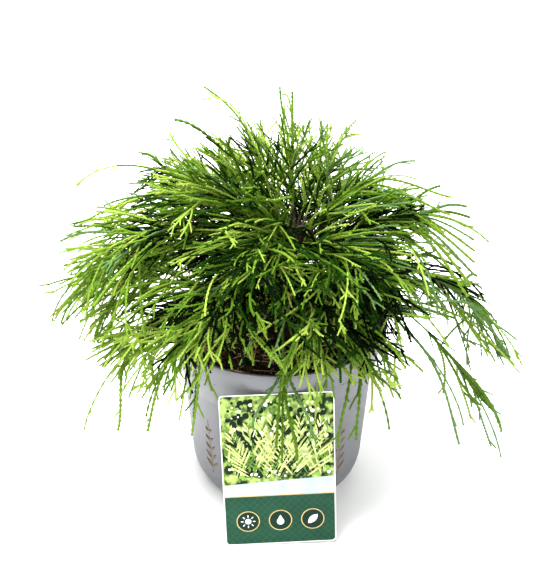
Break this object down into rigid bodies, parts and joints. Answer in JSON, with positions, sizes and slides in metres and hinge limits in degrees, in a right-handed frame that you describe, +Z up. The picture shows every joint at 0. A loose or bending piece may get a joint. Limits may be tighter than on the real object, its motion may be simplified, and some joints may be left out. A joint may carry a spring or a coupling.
{
  "type": "potted weeping dwarf conifer (filifera nana sawara cypress)",
  "caption": "Low weeping thread-leaved dwarf conifer in a round grey plastic pot with a leaning care card.",
  "frame": {"origin": "centre of the pot's flat underside", "axes": "+Z up, -Y towards the viewer, +X to the viewer's right"},
  "size_m": [0.4121, 0.3108, 0.3461],
  "materials": {
    "pot": "satin",
    "soil": "rough",
    "bark": "rough",
    "card": "satin",
    "foliage": "matte"
  },
  "bodies": {
    "root": {"pot": "pot", "soil": "soil", "trunk": "bark", "care_card": "card", "bough_top_1": "bark", "foliage_top_1": "foliage", "bough_top_2": "bark", "foliage_top_2": "foliage", "bough_top_3": "bark", "foliage_top_3": "foliage", "bough_top_4": "bark", "foliage_top_4": "foliage", "bough_top_5": "bark", "foliage_top_5": "foliage", "bough_top_6": "bark", "foliage_top_6": "foliage", "bough_top_7": "bark", "foliage_top_7": "foliage", "bough_upper_1": "bark", "foliage_upper_1": "foliage", "bough_upper_2": "bark", "foliage_upper_2": "foliage", "bough_upper_3": "bark", "foliage_upper_3": "foliage", "bough_upper_4": "bark", "foliage_upper_4": "foliage", "bough_upper_5": "bark", "foliage_upper_5": "foliage", "bough_upper_6": "bark", "foliage_upper_6": "foliage", "bough_upper_7": "bark", "foliage_upper_7": "foliage", "bough_upper_8": "bark", "foliage_upper_8": "foliage", "bough_upper_9": "bark", "foliage_upper_9": "foliage", "bough_lower_1": "bark", "foliage_lower_1": "foliage", "bough_lower_2": "bark", "foliage_lower_2": "foliage", "bough_lower_3": "bark", "foliage_lower_3": "foliage", "bough_lower_4": "bark", "foliage_lower_4": "foliage", "bough_lower_5": "bark", "foliage_lower_5": "foliage", "bough_lower_6": "bark", "foliage_lower_6": "foliage", "bough_lower_7": "bark", "foliage_lower_7": "foliage", "bough_lower_8": "bark", "foliage_lower_8": "foliage", "bough_lower_9": "bark", "foliage_lower_9": "foliage", "bough_lower_10": "bark", "foliage_lower_10": "foliage", "bough_lower_11": "bark", "foliage_lower_11": "foliage"}
  },
  "joints": []
}
